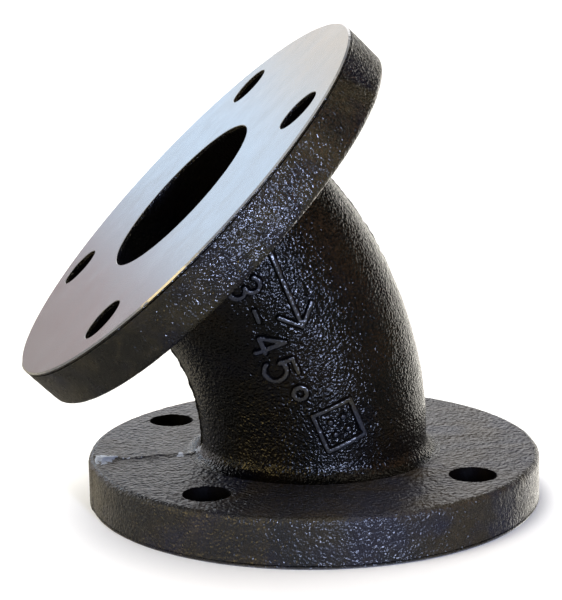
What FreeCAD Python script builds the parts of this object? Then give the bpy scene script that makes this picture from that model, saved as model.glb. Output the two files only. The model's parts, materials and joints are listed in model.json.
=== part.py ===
"""Flanged 45 degree cast-iron pipe elbow, NPS 3, Class 125, in millimetres.

The elbow stands on its lower flange. The origin is the centre of the lower machined face, +Z runs up
the lower leg and the bend leans towards -X, in the XZ plane. The real object is one casting: the nodes
are its sections, which meet face to face and never move. Each sub-part is one object of the document,
and its Label names its STEP file.
"""

import FreeCAD, Part
import math
import os
import Sketcher

V = FreeCAD.Vector
SHEET = "Sizes"

# Driving dimensions: alias, value, what it is. Lengths in mm, angles in degrees.
SIZES = (
    ("centre_to_face", 76.2, "crossing of the two axes to either flange face"),
    ("bend_angle", 45.0, "turn of the waterway"),
    ("bend_radius", 120.65, "centreline radius of the bend"),
    ("bore_diameter", 76.2, "waterway"),
    ("wall_thickness", 9.525, "barrel wall"),
    ("flange_diameter", 190.5, "both flanges"),
    ("flange_thickness", 20.0, "face to back, facing included"),
    ("facing_depth", 1.5, "machined stock at each face"),
    ("facing_chamfer", 0.5, "broken edge round each machined face"),
    ("rim_fillet", 2.5, "cast corner at each flange's back"),
    ("bolt_circle", 152.4, "pitch circle of the bolt holes"),
    ("bolt_hole", 19.05, "bolt hole diameter"),
    ("bolt_count", 4, "bolt holes per flange, astride the bend plane"),
    ("hub_fillet", 6.0, "cast fillet from barrel to flange back"),
    ("seam_width", 2.4, "mould parting ridge along the barrel"),
    ("seam_height", 0.7, "how far that ridge stands off the barrel"),
    ("mark_height", 1.3, "how far the cast marks stand off the barrel"),
    ("mark_stroke", 2.8, "width of a cast mark's strokes"),
    ("digit_height", 15.0, "height of the cast numbers"),
    ("digit_width", 9.5, "width of the cast numbers"),
    ("digit_pitch", 12.3, "centre to centre of the cast numbers"),
    ("row_start", -35.5, "middle of the first number, down the barrel from mid-bend"),
    ("row_level", -14.5, "middle of the number row, outwards from the centreline"),
    ("arrow_middle", -28.0, "middle of the flow arrow, down the barrel from mid-bend"),
    ("arrow_length", 32.0, "flow arrow, tail to tip"),
    ("arrow_barb", 7.0, "reach of the flow arrow's barbs, each way"),
    ("lot_middle", 31.5, "middle of the lot pad, down the barrel from mid-bend"),
    ("lot_level", -2.5, "middle of the lot pad, outwards from the centreline"),
    ("lot_half_side", 8.0, "middle of the lot pad to the middle of its frame"),
    ("pip_offset", 2.7, "middle of the lot pad to a pip, each way"),
    ("pip_radius", 1.5, "lot pad's pips"),
)


def cell(alias):
    """The expression that reads one cell of the sheet."""
    return f"{SHEET}.{alias}"


BORE_RADIUS = f"({cell('bore_diameter')} / 2)"
OUTER_RADIUS = f"({BORE_RADIUS} + {cell('wall_thickness')})"
FLANGE_RADIUS = f"({cell('flange_diameter')} / 2)"
HALF_TURN = f"({cell('bend_angle')} * 0.5 deg)"
BEND_START = f"({cell('centre_to_face')} - {cell('bend_radius')} * tan{HALF_TURN})"
HALF_STROKE = f"({cell('mark_stroke')} / 2)"


def make_sheet(doc):
    sheet = doc.addObject("Spreadsheet::Sheet", SHEET)
    for row, (alias, value, meaning) in enumerate(SIZES, start=1):
        sheet.set(f"A{row}", alias)
        sheet.set(f"B{row}", str(value))
        sheet.set(f"C{row}", meaning)
        sheet.setAlias(f"B{row}", alias)
    doc.recompute()


def size(expression):
    """The present value of an expression over the sheet, to draw geometry near its solution."""
    return float(FreeCAD.ActiveDocument.getObject(SHEET).evalExpression(expression))


# ---------------------------------------------------------------- bodies and sketches


def make_body(doc, name):
    body = doc.addObject("PartDesign::Body", name)
    body.Label = name
    return body


def plane_of(body, role):
    return next(f for f in body.Origin.OriginFeatures if f.Role == role)


def make_sketch(body, name, role="XY_Plane", **shift):
    """A sketch on one of the body's own origin planes, moved along x, y or z by expressions."""
    sketch = body.newObject("Sketcher::SketchObject", name)
    sketch.AttachmentSupport = [(plane_of(body, role), "")]
    sketch.MapMode = "FlatFace"
    for axis, expression in shift.items():
        sketch.setExpression(f"AttachmentOffset.Base.{axis}", expression)
    return sketch


def bind(sketch, kind, points, expression):
    """Adds a dimension to the sketch and binds it to the sheet."""
    index = sketch.addConstraint(Sketcher.Constraint(kind, *points, size(expression)))
    sketch.setExpression(f"Constraints[{index}]", expression)


def tie(sketch, kind, *points):
    sketch.addConstraint(Sketcher.Constraint(kind, *points))


def draw_line(sketch, start, end, construction=False):
    return sketch.addGeometry(Part.LineSegment(V(*start, 0), V(*end, 0)), construction)


def draw_arc(sketch, centre, radius, first, last):
    """An arc from the angle first to the angle last, in radians, anticlockwise."""
    circle = Part.Circle(V(*centre, 0), V(0, 0, 1), radius)
    return sketch.addGeometry(Part.ArcOfCircle(circle, first, last))


def draw_circle(sketch, radius, centre=None):
    """A circle about the sketch's origin or about a centre. All sizes are expressions."""
    x, y = (size(part) for part in centre) if centre else (0, 0)
    circle = sketch.addGeometry(Part.Circle(V(x, y, 0), V(0, 0, 1), size(radius)))
    bind(sketch, "Radius", (circle,), radius)
    if centre:
        bind(sketch, "DistanceX", (-1, 1, circle, 3), centre[0])
        bind(sketch, "DistanceY", (-1, 1, circle, 3), centre[1])
    else:
        tie(sketch, "Coincident", circle, 3, -1, 1)


def ring_sketch(body, name, outer, inner, lift="0"):
    sketch = make_sketch(body, name, z=lift)
    draw_circle(sketch, outer)
    draw_circle(sketch, inner)
    return sketch


def pad(doc, body, name, sketch, length):
    feature = body.newObject("PartDesign::Pad", name)
    feature.Profile = sketch
    feature.setExpression("Length", length)
    doc.recompute()
    return feature


# ---------------------------------------------------------------- flanges and facings


def circle_edge(shape, radius, height):
    """Name of the full circle of that radius about Z at that height, for a fillet or a chamfer."""
    for index, edge in enumerate(shape.Edges, start=1):
        curve = edge.Curve
        if not isinstance(curve, Part.Circle) or abs(curve.Radius - radius) > 1e-6:
            continue
        if (curve.Center - V(0, 0, height)).Length < 1e-6:
            return f"Edge{index}"
    raise RuntimeError(f"no circle of radius {radius} at height {height}")


def drill_bolt_holes(doc, body):
    """Cuts the bolt holes through the body, astride the bend plane."""
    solid_volume = body.Shape.Volume
    sketch = make_sketch(body, "BoltHole")
    side = f"{cell('bolt_circle')} / 2 * sqrt(0.5)"
    draw_circle(sketch, f"{cell('bolt_hole')} / 2", (side, side))
    pocket = body.newObject("PartDesign::Pocket", "BoltHolePocket")
    pocket.Profile = sketch
    pocket.Type = "ThroughAll"
    pocket.Midplane = True
    doc.recompute()
    pattern = body.newObject("PartDesign::PolarPattern", "BoltHoles")
    pattern.Originals = [pocket]
    pattern.Axis = (sketch, ["N_Axis"])
    pattern.Angle = 360
    pattern.setExpression("Occurrences", cell("bolt_count"))
    body.Tip = pattern
    doc.recompute()
    if pattern.Shape.Volume >= solid_volume:
        raise RuntimeError(f"the bolt holes cut nothing out of {body.Label}")
    return pattern


def make_disc(doc, name, bottom, thickness):
    """A drilled ring with the flange's outline. Returns its body and its last feature."""
    body = make_body(doc, name)
    rings = ring_sketch(body, "Rings", FLANGE_RADIUS, BORE_RADIUS, bottom)
    pad(doc, body, "Disc", rings, thickness)
    return body, drill_bolt_holes(doc, body)


def make_flange(doc, name):
    """The cast flange behind its machined face, with a rounded back corner."""
    thickness = f"{cell('flange_thickness')} - {cell('facing_depth')}"
    body, drilled = make_disc(doc, name, cell("facing_depth"), thickness)
    corner = circle_edge(drilled.Shape, size(FLANGE_RADIUS), size(cell("flange_thickness")))
    rim = body.newObject("PartDesign::Fillet", "RimFillet")
    rim.Base = (drilled, [corner])
    rim.setExpression("Radius", cell("rim_fillet"))
    body.Tip = rim
    return body


def make_facing(doc, name):
    """The machined layer at a flange's face, bare metal, drilled with the flange."""
    body, drilled = make_disc(doc, name, "0", cell("facing_depth"))
    broken = body.newObject("PartDesign::Chamfer", "FaceEdge")
    broken.Base = (drilled, [circle_edge(drilled.Shape, size(FLANGE_RADIUS), 0)])
    broken.setExpression("Size", cell("facing_chamfer"))
    body.Tip = broken
    return body


def place_on_upper_leg(body):
    """Turns a body made for the lower face so that its own +Z runs into the upper leg."""
    lean, reach = f"({cell('bend_angle')} * 1 deg)", cell("centre_to_face")
    body.Placement.Rotation = FreeCAD.Rotation(V(0, 1, 0), 90)
    body.setExpression("Placement.Rotation.Angle", f"180 deg - {lean}")
    body.setExpression("Placement.Base.x", f"-{reach} * sin{lean} * 1 mm")
    body.setExpression("Placement.Base.z", f"{reach} * (1 + cos{lean}) * 1 mm")


# ---------------------------------------------------------------- barrel and seams


def hub_profile(body):
    """Section of the concave cast fillet between the barrel and the flange back."""
    inner, base = size(OUTER_RADIUS), size(cell("flange_thickness"))
    reach = size(cell("hub_fillet"))
    sketch = make_sketch(body, "HubSection", "XZ_Plane")
    foot = draw_line(sketch, (inner, base), (inner + reach, base))
    wall = draw_line(sketch, (inner, base + reach), (inner, base))
    centre = (inner + reach, base + reach)
    curve = draw_arc(sketch, centre, reach, math.pi, 1.5 * math.pi)
    tie(sketch, "Horizontal", foot)
    tie(sketch, "Vertical", wall)
    tie(sketch, "Coincident", foot, 1, wall, 2)
    tie(sketch, "Coincident", wall, 1, curve, 1)
    tie(sketch, "Coincident", curve, 2, foot, 2)
    tie(sketch, "Vertical", curve, 3, foot, 2)
    bind(sketch, "Radius", (curve,), cell("hub_fillet"))
    bind(sketch, "DistanceY", (wall, 2, wall, 1), cell("hub_fillet"))
    bind(sketch, "DistanceX", (-1, 1, foot, 1), OUTER_RADIUS)
    bind(sketch, "DistanceY", (-1, 1, foot, 1), cell("flange_thickness"))
    return sketch


def add_bend_axis(sketch):
    """Draws the bend's axis as construction. Its direction makes a turn about it lift the bend."""
    offset, half = size(cell("bend_radius")), 10
    axis = draw_line(sketch, (-offset, half), (-offset, -half), construction=True)
    tie(sketch, "Symmetric", axis, 1, axis, 2, -1)
    bind(sketch, "DistanceX", (axis, 1, -1, 1), cell("bend_radius"))
    bind(sketch, "DistanceY", (axis, 2, axis, 1), f"{2 * half}")


def turn_about_bend(doc, body, name, sketch):
    """Turns a section from the lower leg to the upper one about the bend's axis."""
    turn = body.newObject("PartDesign::Revolution", name)
    turn.Profile = sketch
    turn.ReferenceAxis = (sketch, ["Axis0"])
    turn.setExpression("Angle", cell("bend_angle"))
    doc.recompute()


def make_barrel(doc, name):
    """The curved pipe wall between the flange backs, with its straight ends and cast fillets."""
    body = make_body(doc, name)
    back = cell("flange_thickness")
    rings = ring_sketch(body, "EndRings", OUTER_RADIUS, BORE_RADIUS, back)
    stub = pad(doc, body, "StraightEnd", rings, f"{BEND_START} - {back}")

    hub = body.newObject("PartDesign::Revolution", "HubFillet")
    hub.Profile = hub_profile(body)
    hub.ReferenceAxis = (hub.Profile[0], ["V_Axis"])
    hub.Angle = 360
    doc.recompute()

    section = ring_sketch(body, "BendRings", OUTER_RADIUS, BORE_RADIUS, BEND_START)
    add_bend_axis(section)
    turn_about_bend(doc, body, "Bend", section)

    mitre = body.newObject("PartDesign::Plane", "MitrePlane")
    mitre.AttachmentSupport = [(plane_of(body, "XY_Plane"), "")]
    mitre.MapMode = "FlatFace"
    mitre.AttachmentOffset = FreeCAD.Placement(V(), FreeCAD.Rotation(V(0, -1, 0), 10))
    mitre.setExpression("AttachmentOffset.Base.z", f"{cell('centre_to_face')} * 1 mm")
    mitre.setExpression("AttachmentOffset.Rotation.Angle", HALF_TURN)
    doc.recompute()
    upper_end = body.newObject("PartDesign::Mirrored", "UpperEnd")
    upper_end.Originals = [stub, hub]
    upper_end.MirrorPlane = (mitre, [""])
    body.Tip = upper_end
    return body


def make_seam(doc, name, side):
    """The ridge that the mould joint leaves along the bend. side is -1 in the throat, 1 outside."""
    body = make_body(doc, name)
    radius = size(OUTER_RADIUS)
    half, top = size(cell("seam_width")) / 2, radius + size(cell("seam_height"))
    spread = math.asin(half / radius)
    foot = radius * math.cos(spread)
    sketch = make_sketch(body, "SeamSection", z=BEND_START)
    add_bend_axis(sketch)
    middle = 0 if side > 0 else math.pi
    arc = draw_arc(sketch, (0, 0), radius, middle - spread, middle + spread)
    corners = [
        (side * foot, side * half),
        (side * top, side * half),
        (side * top, -side * half),
        (side * foot, -side * half),
    ]
    flank, crest, far_flank = (draw_line(sketch, *ends) for ends in zip(corners, corners[1:]))
    tie(sketch, "Coincident", arc, 3, -1, 1)
    for one, other in ((arc, flank), (flank, crest), (crest, far_flank), (far_flank, arc)):
        tie(sketch, "Coincident", one, 2, other, 1)
    tie(sketch, "Horizontal", flank)
    tie(sketch, "Horizontal", far_flank)
    tie(sketch, "Symmetric", crest, 1, crest, 2, -1)
    bind(sketch, "Radius", (arc,), OUTER_RADIUS)
    bind(sketch, "Distance", (crest,), cell("seam_width"))
    reach = (-1, 1, crest, 1) if side > 0 else (crest, 1, -1, 1)
    bind(sketch, "DistanceX", reach, f"{OUTER_RADIUS} + {cell('seam_height')}")
    turn_about_bend(doc, body, "Ridge", sketch)
    return body


# ---------------------------------------------------------------- raised cast marks


def make_skin(doc):
    """The layer over the bend that the marks stand in: a ring cut out of a slightly fatter one."""
    rings = []
    for name, radius in (
        ("MarkTops", f"{OUTER_RADIUS} + {cell('mark_height')}"),
        ("MarkFeet", OUTER_RADIUS),
    ):
        ring = doc.addObject("Part::Torus", name)
        ring.setExpression("Radius1", cell("bend_radius"))
        ring.setExpression("Radius2", radius)
        ring.Placement.Rotation = FreeCAD.Rotation(V(1, 0, 0), 90)
        ring.setExpression("Placement.Base.x", f"-{cell('bend_radius')} * 1 mm")
        ring.setExpression("Placement.Base.z", f"{BEND_START} * 1 mm")
        rings.append(ring)
    skin = doc.addObject("Part::Cut", "MarkSkin")
    skin.Base, skin.Tool = rings
    doc.recompute()
    return skin


class Mark:
    """One group of raised strokes on the barrel's -Y side.

    The strokes are pads in the bend plane, run out through the skin. In their sketches x runs down the
    barrel from mid-bend, the way the marks read, and y runs towards the outside of the bend.
    """

    def __init__(self, doc, name):
        self.doc = doc
        self.name = name
        self.body = make_body(doc, f"{name}_strokes")
        self.body.AllowCompound = True
        self.body.Placement.Rotation = FreeCAD.Rotation(V(0, 1, 0), 60)
        bend = cell("bend_radius")
        self.body.setExpression("Placement.Rotation.Angle", f"90 deg - {HALF_TURN}")
        self.body.setExpression("Placement.Base.x", f"{bend} * (cos{HALF_TURN} - 1) * 1 mm")
        mid_height = f"{BEND_START} + {bend} * sin{HALF_TURN}"
        self.body.setExpression("Placement.Base.z", f"({mid_height}) * 1 mm")
        self.move("0", "0")

    def move(self, x, y):
        """Sets where the next strokes' origin is, in expressions."""
        self.origin = {"x": x, "y": y}

    def sketch(self):
        return make_sketch(self.body, "Stroke", "XZ_Plane", **self.origin)

    def raise_stroke(self, sketch):
        reach = f"{OUTER_RADIUS} + 2 * {cell('mark_height')}"
        pad(self.doc, self.body, "Raised", sketch, reach)

    def bar(self, start, end):
        """A straight stroke with round ends between two points, given in expressions."""
        sketch = self.sketch()
        (x0, y0), (x1, y1) = ([size(part) for part in point] for point in (start, end))
        angle, half = math.atan2(y1 - y0, x1 - x0), size(HALF_STROKE)
        dx, dy = -half * math.sin(angle), half * math.cos(angle)
        quarter = math.pi / 2
        parts = [
            draw_line(sketch, (x0 - dx, y0 - dy), (x1 - dx, y1 - dy)),
            draw_arc(sketch, (x1, y1), half, angle - quarter, angle + quarter),
            draw_line(sketch, (x1 + dx, y1 + dy), (x0 + dx, y0 + dy)),
            draw_arc(sketch, (x0, y0), half, angle + quarter, angle + 3 * quarter),
        ]
        for one, other in zip(parts, parts[1:] + parts[:1]):
            tie(sketch, "Tangent", one, 2, other, 1)
        bind(sketch, "Radius", (parts[1],), HALF_STROKE)
        for arc, (x, y) in ((parts[1], end), (parts[3], start)):
            bind(sketch, "DistanceX", (-1, 1, arc, 3), x)
            bind(sketch, "DistanceY", (-1, 1, arc, 3), y)
        self.raise_stroke(sketch)

    def bow(self, centre, radius, first, last):
        """A curved stroke with round ends. centre and radius are expressions, angles are degrees."""
        sketch = self.sketch()
        x, y = (size(part) for part in centre)
        middle, half = size(radius), size(HALF_STROKE)
        first, last = math.radians(first), math.radians(last)
        head = (x + middle * math.cos(last), y + middle * math.sin(last))
        tail = (x + middle * math.cos(first), y + middle * math.sin(first))
        outer = draw_arc(sketch, (x, y), middle + half, first, last)
        inner = draw_arc(sketch, (x, y), middle - half, first, last)
        head_cap = draw_arc(sketch, head, half, last, last + math.pi)
        tail_cap = draw_arc(sketch, tail, half, first + math.pi, first + 2 * math.pi)
        tie(sketch, "Coincident", inner, 3, outer, 3)
        tie(sketch, "Tangent", outer, 2, head_cap, 1)
        tie(sketch, "Tangent", head_cap, 2, inner, 2)
        tie(sketch, "Tangent", inner, 1, tail_cap, 1)
        tie(sketch, "Tangent", tail_cap, 2, outer, 1)
        bind(sketch, "Radius", (outer,), f"{radius} + {HALF_STROKE}")
        bind(sketch, "Radius", (head_cap,), HALF_STROKE)
        bind(sketch, "DistanceX", (-1, 1, outer, 3), centre[0])
        bind(sketch, "DistanceY", (-1, 1, outer, 3), centre[1])
        self.raise_stroke(sketch)

    def finish(self, skin):
        """The node: the part of the strokes that lies in the skin."""
        node = self.doc.addObject("Part::Common", self.name)
        node.Label = self.name
        node.Base = self.body
        node.Tool = skin
        return node


def move_to_place(mark, index):
    """Moves a mark's origin to one place of the number row."""
    mark.move(f"{cell('row_start')} + {index} * {cell('digit_pitch')}", cell("row_level"))


def in_digit(x, y):
    """A point of a digit in fractions of its width and height from its middle."""
    return f"{x} * {cell('digit_width')}", f"{y} * {cell('digit_height')}"


def add_three(mark):
    bowl = f"({cell('digit_height')} / 4 - {HALF_STROKE} / 2)"
    mark.bow(("0", bowl), bowl, -90, 150)
    mark.bow(("0", f"-{bowl}"), bowl, -150, 90)


def add_four(mark):
    mark.bar(in_digit(0.2, -0.4), in_digit(0.2, 0.4))
    mark.bar(in_digit(-0.36, -0.17), in_digit(0.36, -0.17))
    mark.bar(in_digit(-0.36, -0.17), in_digit(0.2, 0.4))


def add_five(mark):
    mark.bar(in_digit(-0.33, 0.4), in_digit(0.33, 0.4))
    mark.bar(in_digit(-0.33, 0.4), in_digit(-0.33, 0.05))
    mark.bow(in_digit(-0.08, -0.12), f"0.28 * {cell('digit_height')}", -145, 130)


def make_size_mark(doc, skin):
    mark = Mark(doc, "size_mark")
    move_to_place(mark, 0)
    add_three(mark)
    move_to_place(mark, 1)
    mark.bar(in_digit(-0.25, 0), in_digit(0.25, 0))
    return mark.finish(skin)


def make_angle_mark(doc, skin):
    mark = Mark(doc, "angle_mark")
    move_to_place(mark, 2)
    add_four(mark)
    move_to_place(mark, 3)
    add_five(mark)
    move_to_place(mark, 4)
    degree = mark.sketch()
    for radius in (f"1.3 * {cell('mark_stroke')}", f"0.5 * {cell('mark_stroke')}"):
        draw_circle(degree, radius, in_digit(-0.1, 0.22))
    mark.raise_stroke(degree)
    return mark.finish(skin)


def make_flow_arrow(doc, skin):
    mark = Mark(doc, "flow_arrow")
    mark.move(cell("arrow_middle"), "0")
    reach, barb = f"{cell('arrow_length')} / 2", cell("arrow_barb")
    tip = (reach, "0")
    mark.bar((f"-{reach}", "0"), tip)
    mark.bar(tip, (f"{reach} - {barb}", barb))
    mark.bar(tip, (f"{reach} - {barb}", f"-{barb}"))
    return mark.finish(skin)


def make_lot_mark(doc, skin):
    """A square frame with four pips, where a foundry counts its lots."""
    mark = Mark(doc, "lot_mark")
    mark.move(cell("lot_middle"), cell("lot_level"))
    side = cell("lot_half_side")
    corners = [(f"-{side}", f"-{side}"), (side, f"-{side}"), (side, side), (f"-{side}", side)]
    for start, end in zip(corners, corners[1:] + corners[:1]):
        mark.bar(start, end)
    offset = cell("pip_offset")
    pips = mark.sketch()
    for x in (f"-{offset}", offset):
        for y in (f"-{offset}", offset):
            draw_circle(pips, cell("pip_radius"), (x, y))
    mark.raise_stroke(pips)
    return mark.finish(skin)


# ---------------------------------------------------------------- build and export


def make_nodes(doc):
    nodes = [make_barrel(doc, "barrel")]
    for level in ("lower", "upper"):
        for make, section in ((make_flange, "flange"), (make_facing, "facing")):
            node = make(doc, f"{level}_{section}")
            if level == "upper":
                place_on_upper_leg(node)
            nodes.append(node)
    nodes += [make_seam(doc, "throat_seam", -1), make_seam(doc, "crown_seam", 1)]
    skin = make_skin(doc)
    for make in (make_size_mark, make_angle_mark, make_flow_arrow, make_lot_mark):
        nodes.append(make(doc, skin))
    return nodes


def check(doc, nodes):
    failed = [o.Name for o in doc.Objects if {"Invalid", "Error"} & set(o.State)]
    if failed:
        raise RuntimeError(f"objects failed to build: {failed}")
    for node in nodes:
        shape = node.Shape
        if shape.isNull() or not shape.isValid() or not shape.Solids:
            raise RuntimeError(f"{node.Label} has no valid solid")


def main():
    doc = FreeCAD.newDocument("elbow")
    make_sheet(doc)
    nodes = make_nodes(doc)
    doc.recompute()
    check(doc, nodes)
    os.makedirs("parts", exist_ok=True)
    for node in nodes:
        node.Shape.exportStep(os.path.join("parts", f"{node.Label}.step"))
        print(f"{node.Label}: {len(node.Shape.Solids)} solid(s), {node.Shape.Volume:.0f} mm3")


main()
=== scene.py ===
"""Looks of a flanged 45 degree cast-iron pipe elbow: a rough black coat, and bright machined faces.

Metres, in the part's own frame: the lower face's centre is the origin, +Z runs up the lower leg and
the bend leans towards -X. Every piece stands for one node, and all of them are sections of one
casting.
"""

import itertools
import json
import math

import bmesh
import bpy
import numpy as np
from mathutils import Matrix, Vector
from mathutils.geometry import delaunay_2d_cdt


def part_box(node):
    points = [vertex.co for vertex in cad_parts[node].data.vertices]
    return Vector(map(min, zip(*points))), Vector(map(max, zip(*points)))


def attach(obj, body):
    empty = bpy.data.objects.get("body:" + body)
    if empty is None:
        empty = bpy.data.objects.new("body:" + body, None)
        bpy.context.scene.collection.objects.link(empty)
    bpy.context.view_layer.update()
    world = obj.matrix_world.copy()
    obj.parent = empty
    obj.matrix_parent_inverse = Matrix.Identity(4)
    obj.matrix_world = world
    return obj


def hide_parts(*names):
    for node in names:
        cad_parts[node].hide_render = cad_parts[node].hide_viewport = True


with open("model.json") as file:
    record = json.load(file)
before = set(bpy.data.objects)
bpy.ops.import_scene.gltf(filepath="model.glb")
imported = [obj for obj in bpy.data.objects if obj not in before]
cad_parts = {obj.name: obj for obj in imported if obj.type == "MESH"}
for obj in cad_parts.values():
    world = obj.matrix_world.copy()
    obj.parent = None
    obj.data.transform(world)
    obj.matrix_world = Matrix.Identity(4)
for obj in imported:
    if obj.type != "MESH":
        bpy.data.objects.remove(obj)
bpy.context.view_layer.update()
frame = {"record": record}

MM = 0.001
Y_AXIS = np.array((0.0, 1.0, 0.0))

# ---------------------------------------------------------------- sizes, from the frame

mounts = {m["name"]: m for m in frame["record"]["mounts"]}
bore, bolts = mounts["lower_bore"]["dims"], mounts["lower_bolts"]["dims"]
BORE_R = bore["r_mm"] * MM
BEND_START = bore["length_mm"] * MM
HOLE_R = bolts["hole_r_mm"] * MM
BOLT_CIRCLE_R = bolts["pcd_mm"] * MM / 2
BOLT_COUNT = bolts["count"]
FLANGE_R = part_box("lower_flange")[1].y
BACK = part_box("lower_flange")[1].z
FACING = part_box("lower_facing")[1].z
HUB_FILLET = 6.0 * MM
RIM_FILLET = 2.5 * MM
BARREL_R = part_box("barrel")[1].y - HUB_FILLET
UPPER_FACE = np.array(mounts["upper_bore"]["pos_m"])
UPPER_OUT = np.array(mounts["upper_bore"]["axis"])
BEND = math.acos(UPPER_OUT[2])
CENTRE_TO_FACE = -UPPER_FACE[0] / math.sin(BEND)
BEND_R = (CENTRE_TO_FACE - BEND_START) / math.tan(BEND / 2)
LENGTH = 2 * BEND_START + BEND_R * BEND
MARK_HEIGHT = 1.3 * MM


# ---------------------------------------------------------------- the casting's rough skin


NOISE_SEEDS = (11, 23, 37, 53, 71)
NOISE_GAIN = 1.6  # brings the noise to about -1 to 1
SAND_HEIGHT = 0.10  # mm
HOLLOW_DEPTH = 0.30  # mm


class Noise:
    """Seeded 3-D gradient noise over an array of points, about -1 to 1."""

    def __init__(self, seed):
        rng = np.random.default_rng(seed)
        self.order = np.tile(rng.permutation(256), 3)
        slopes = rng.normal(size=(256, 3))
        self.slopes = slopes / np.linalg.norm(slopes, axis=1, keepdims=True)

    def __call__(self, points, wavelength):
        scaled = points / wavelength
        cell = np.floor(scaled).astype(int)
        part = scaled - cell
        fade = part**3 * (part * (part * 6 - 15) + 10)
        total = np.zeros(len(points))
        for corner in itertools.product((0, 1), repeat=3):
            at = (cell + corner) & 255
            chosen = self.order[self.order[self.order[at[:, 0]] + at[:, 1]] + at[:, 2]]
            weight = np.where(corner, fade, 1 - fade).prod(axis=1)
            total += weight * (self.slopes[chosen] * (part - corner)).sum(axis=1)
        return NOISE_GAIN * total


broad, lumps, grain, pits, ragged = (Noise(seed) for seed in NOISE_SEEDS)


def cast_relief(points):
    """How far the sand-cast skin stands off the smooth shape at each point, in metres.

    It is a slow waviness, with sand bumps of two sizes that come and go in patches, and hollows.
    """
    patchy = np.clip(0.95 + 0.6 * broad(points + 0.2, 24 * MM), 0.4, 1.4)
    coarse = 0.5 - np.abs(grain(points, 2.9 * MM))
    fine = grain(points + 0.1, 1.9 * MM)
    hollows = np.clip(pits(points, 5.5 * MM) - 0.45, 0, None)
    waviness = 0.20 * broad(points, 38 * MM) + 0.09 * lumps(points, 9 * MM)
    sand = SAND_HEIGHT * coarse + SAND_HEIGHT * fine
    return MM * (waviness + patchy * sand - HOLLOW_DEPTH * hollows)


def step(low, high, value):
    """A smooth rise from 0 to 1."""
    part = np.clip((value - low) / (high - low), 0, 1)
    return part * part * (3 - 2 * part)


# ---------------------------------------------------------------- mesh tools


PLAN_SEED = 5
PLAN_JITTER = 0.2  # in pitches
PLAN_CLEARANCE = 0.6  # in pitches, from a plan's outlines
MERGE_DISTANCE = 1e-7
FLAT_MIDDLE = (0.0, 0.0)


class Skin:
    """The points and faces of one closed piece.

    A face's paint is the number of its material in the piece. A call takes one paint for all its
    faces, or one for each.
    """

    def __init__(self):
        self.points, self.faces, self.paints, self.count = [], [], [], 0

    def add_points(self, points):
        first = self.count
        self.points.append(np.asarray(points, float))
        self.count += len(points)
        return np.arange(first, self.count)

    def add_faces(self, faces, paint=0):
        self.faces += np.asarray(faces).tolist()
        self.paints += np.broadcast_to(paint, len(faces)).tolist()

    def bridge(self, one, other, paint=0):
        """Joins two closed rings of equal length with quads."""
        self.add_faces(np.stack([one, np.roll(one, -1), np.roll(other, -1), other], axis=1), paint)

    def wall(self, start, end, rings, paint=0):
        """Joins two rings that exist already through new ones, given as arrays of points."""
        for ring in rings:
            following = self.add_points(ring)
            self.bridge(start, following, paint)
            start = following
        self.bridge(start, end, paint)

    def mesh(self, name):
        mesh = bpy.data.meshes.new(name)
        mesh.from_pydata(np.concatenate(self.points).tolist(), [], self.faces)
        mesh.polygons.foreach_set("material_index", self.paints)
        shape = bmesh.new()
        shape.from_mesh(mesh)
        bmesh.ops.recalc_face_normals(shape, faces=shape.faces)
        shape.to_mesh(mesh)
        shape.free()
        return mesh


def read_points(mesh):
    points = np.empty(3 * len(mesh.vertices))
    mesh.vertices.foreach_get("co", points)
    return points.reshape(-1, 3)


def write_points(mesh, points):
    mesh.vertices.foreach_set("co", points.ravel())
    mesh.update()


def roughen(mesh, amount):
    """Moves a smooth mesh's points along their normals by amount(points)."""
    points = read_points(mesh)
    normals = np.empty(points.size)
    mesh.vertex_normals.foreach_get("vector", normals)
    write_points(mesh, points + normals.reshape(-1, 3) * amount(points)[:, None])


def make_piece(name, mesh, materials, sharp=60):
    """Finishes a piece that stands for the node of its own name, less _skin."""
    piece = bpy.data.objects.new(name, mesh)
    bpy.context.scene.collection.objects.link(piece)
    for material in materials:
        mesh.materials.append(material)
    mesh.shade_smooth()
    mesh.set_sharp_from_angle(angle=math.radians(sharp))
    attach(piece, "root")
    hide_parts(name.removesuffix("_skin"))


def circle(centre, radius, count):
    turn = np.arange(count) * (2 * math.pi / count)
    return np.stack([centre[0] + radius * np.cos(turn), centre[1] + radius * np.sin(turn)], axis=1)


def at_height(flat, height):
    return np.column_stack([flat, np.full(len(flat), height)])


def ring_at(height, radius, count, centre=FLAT_MIDDLE):
    return at_height(circle(centre, radius, count), height)


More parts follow.
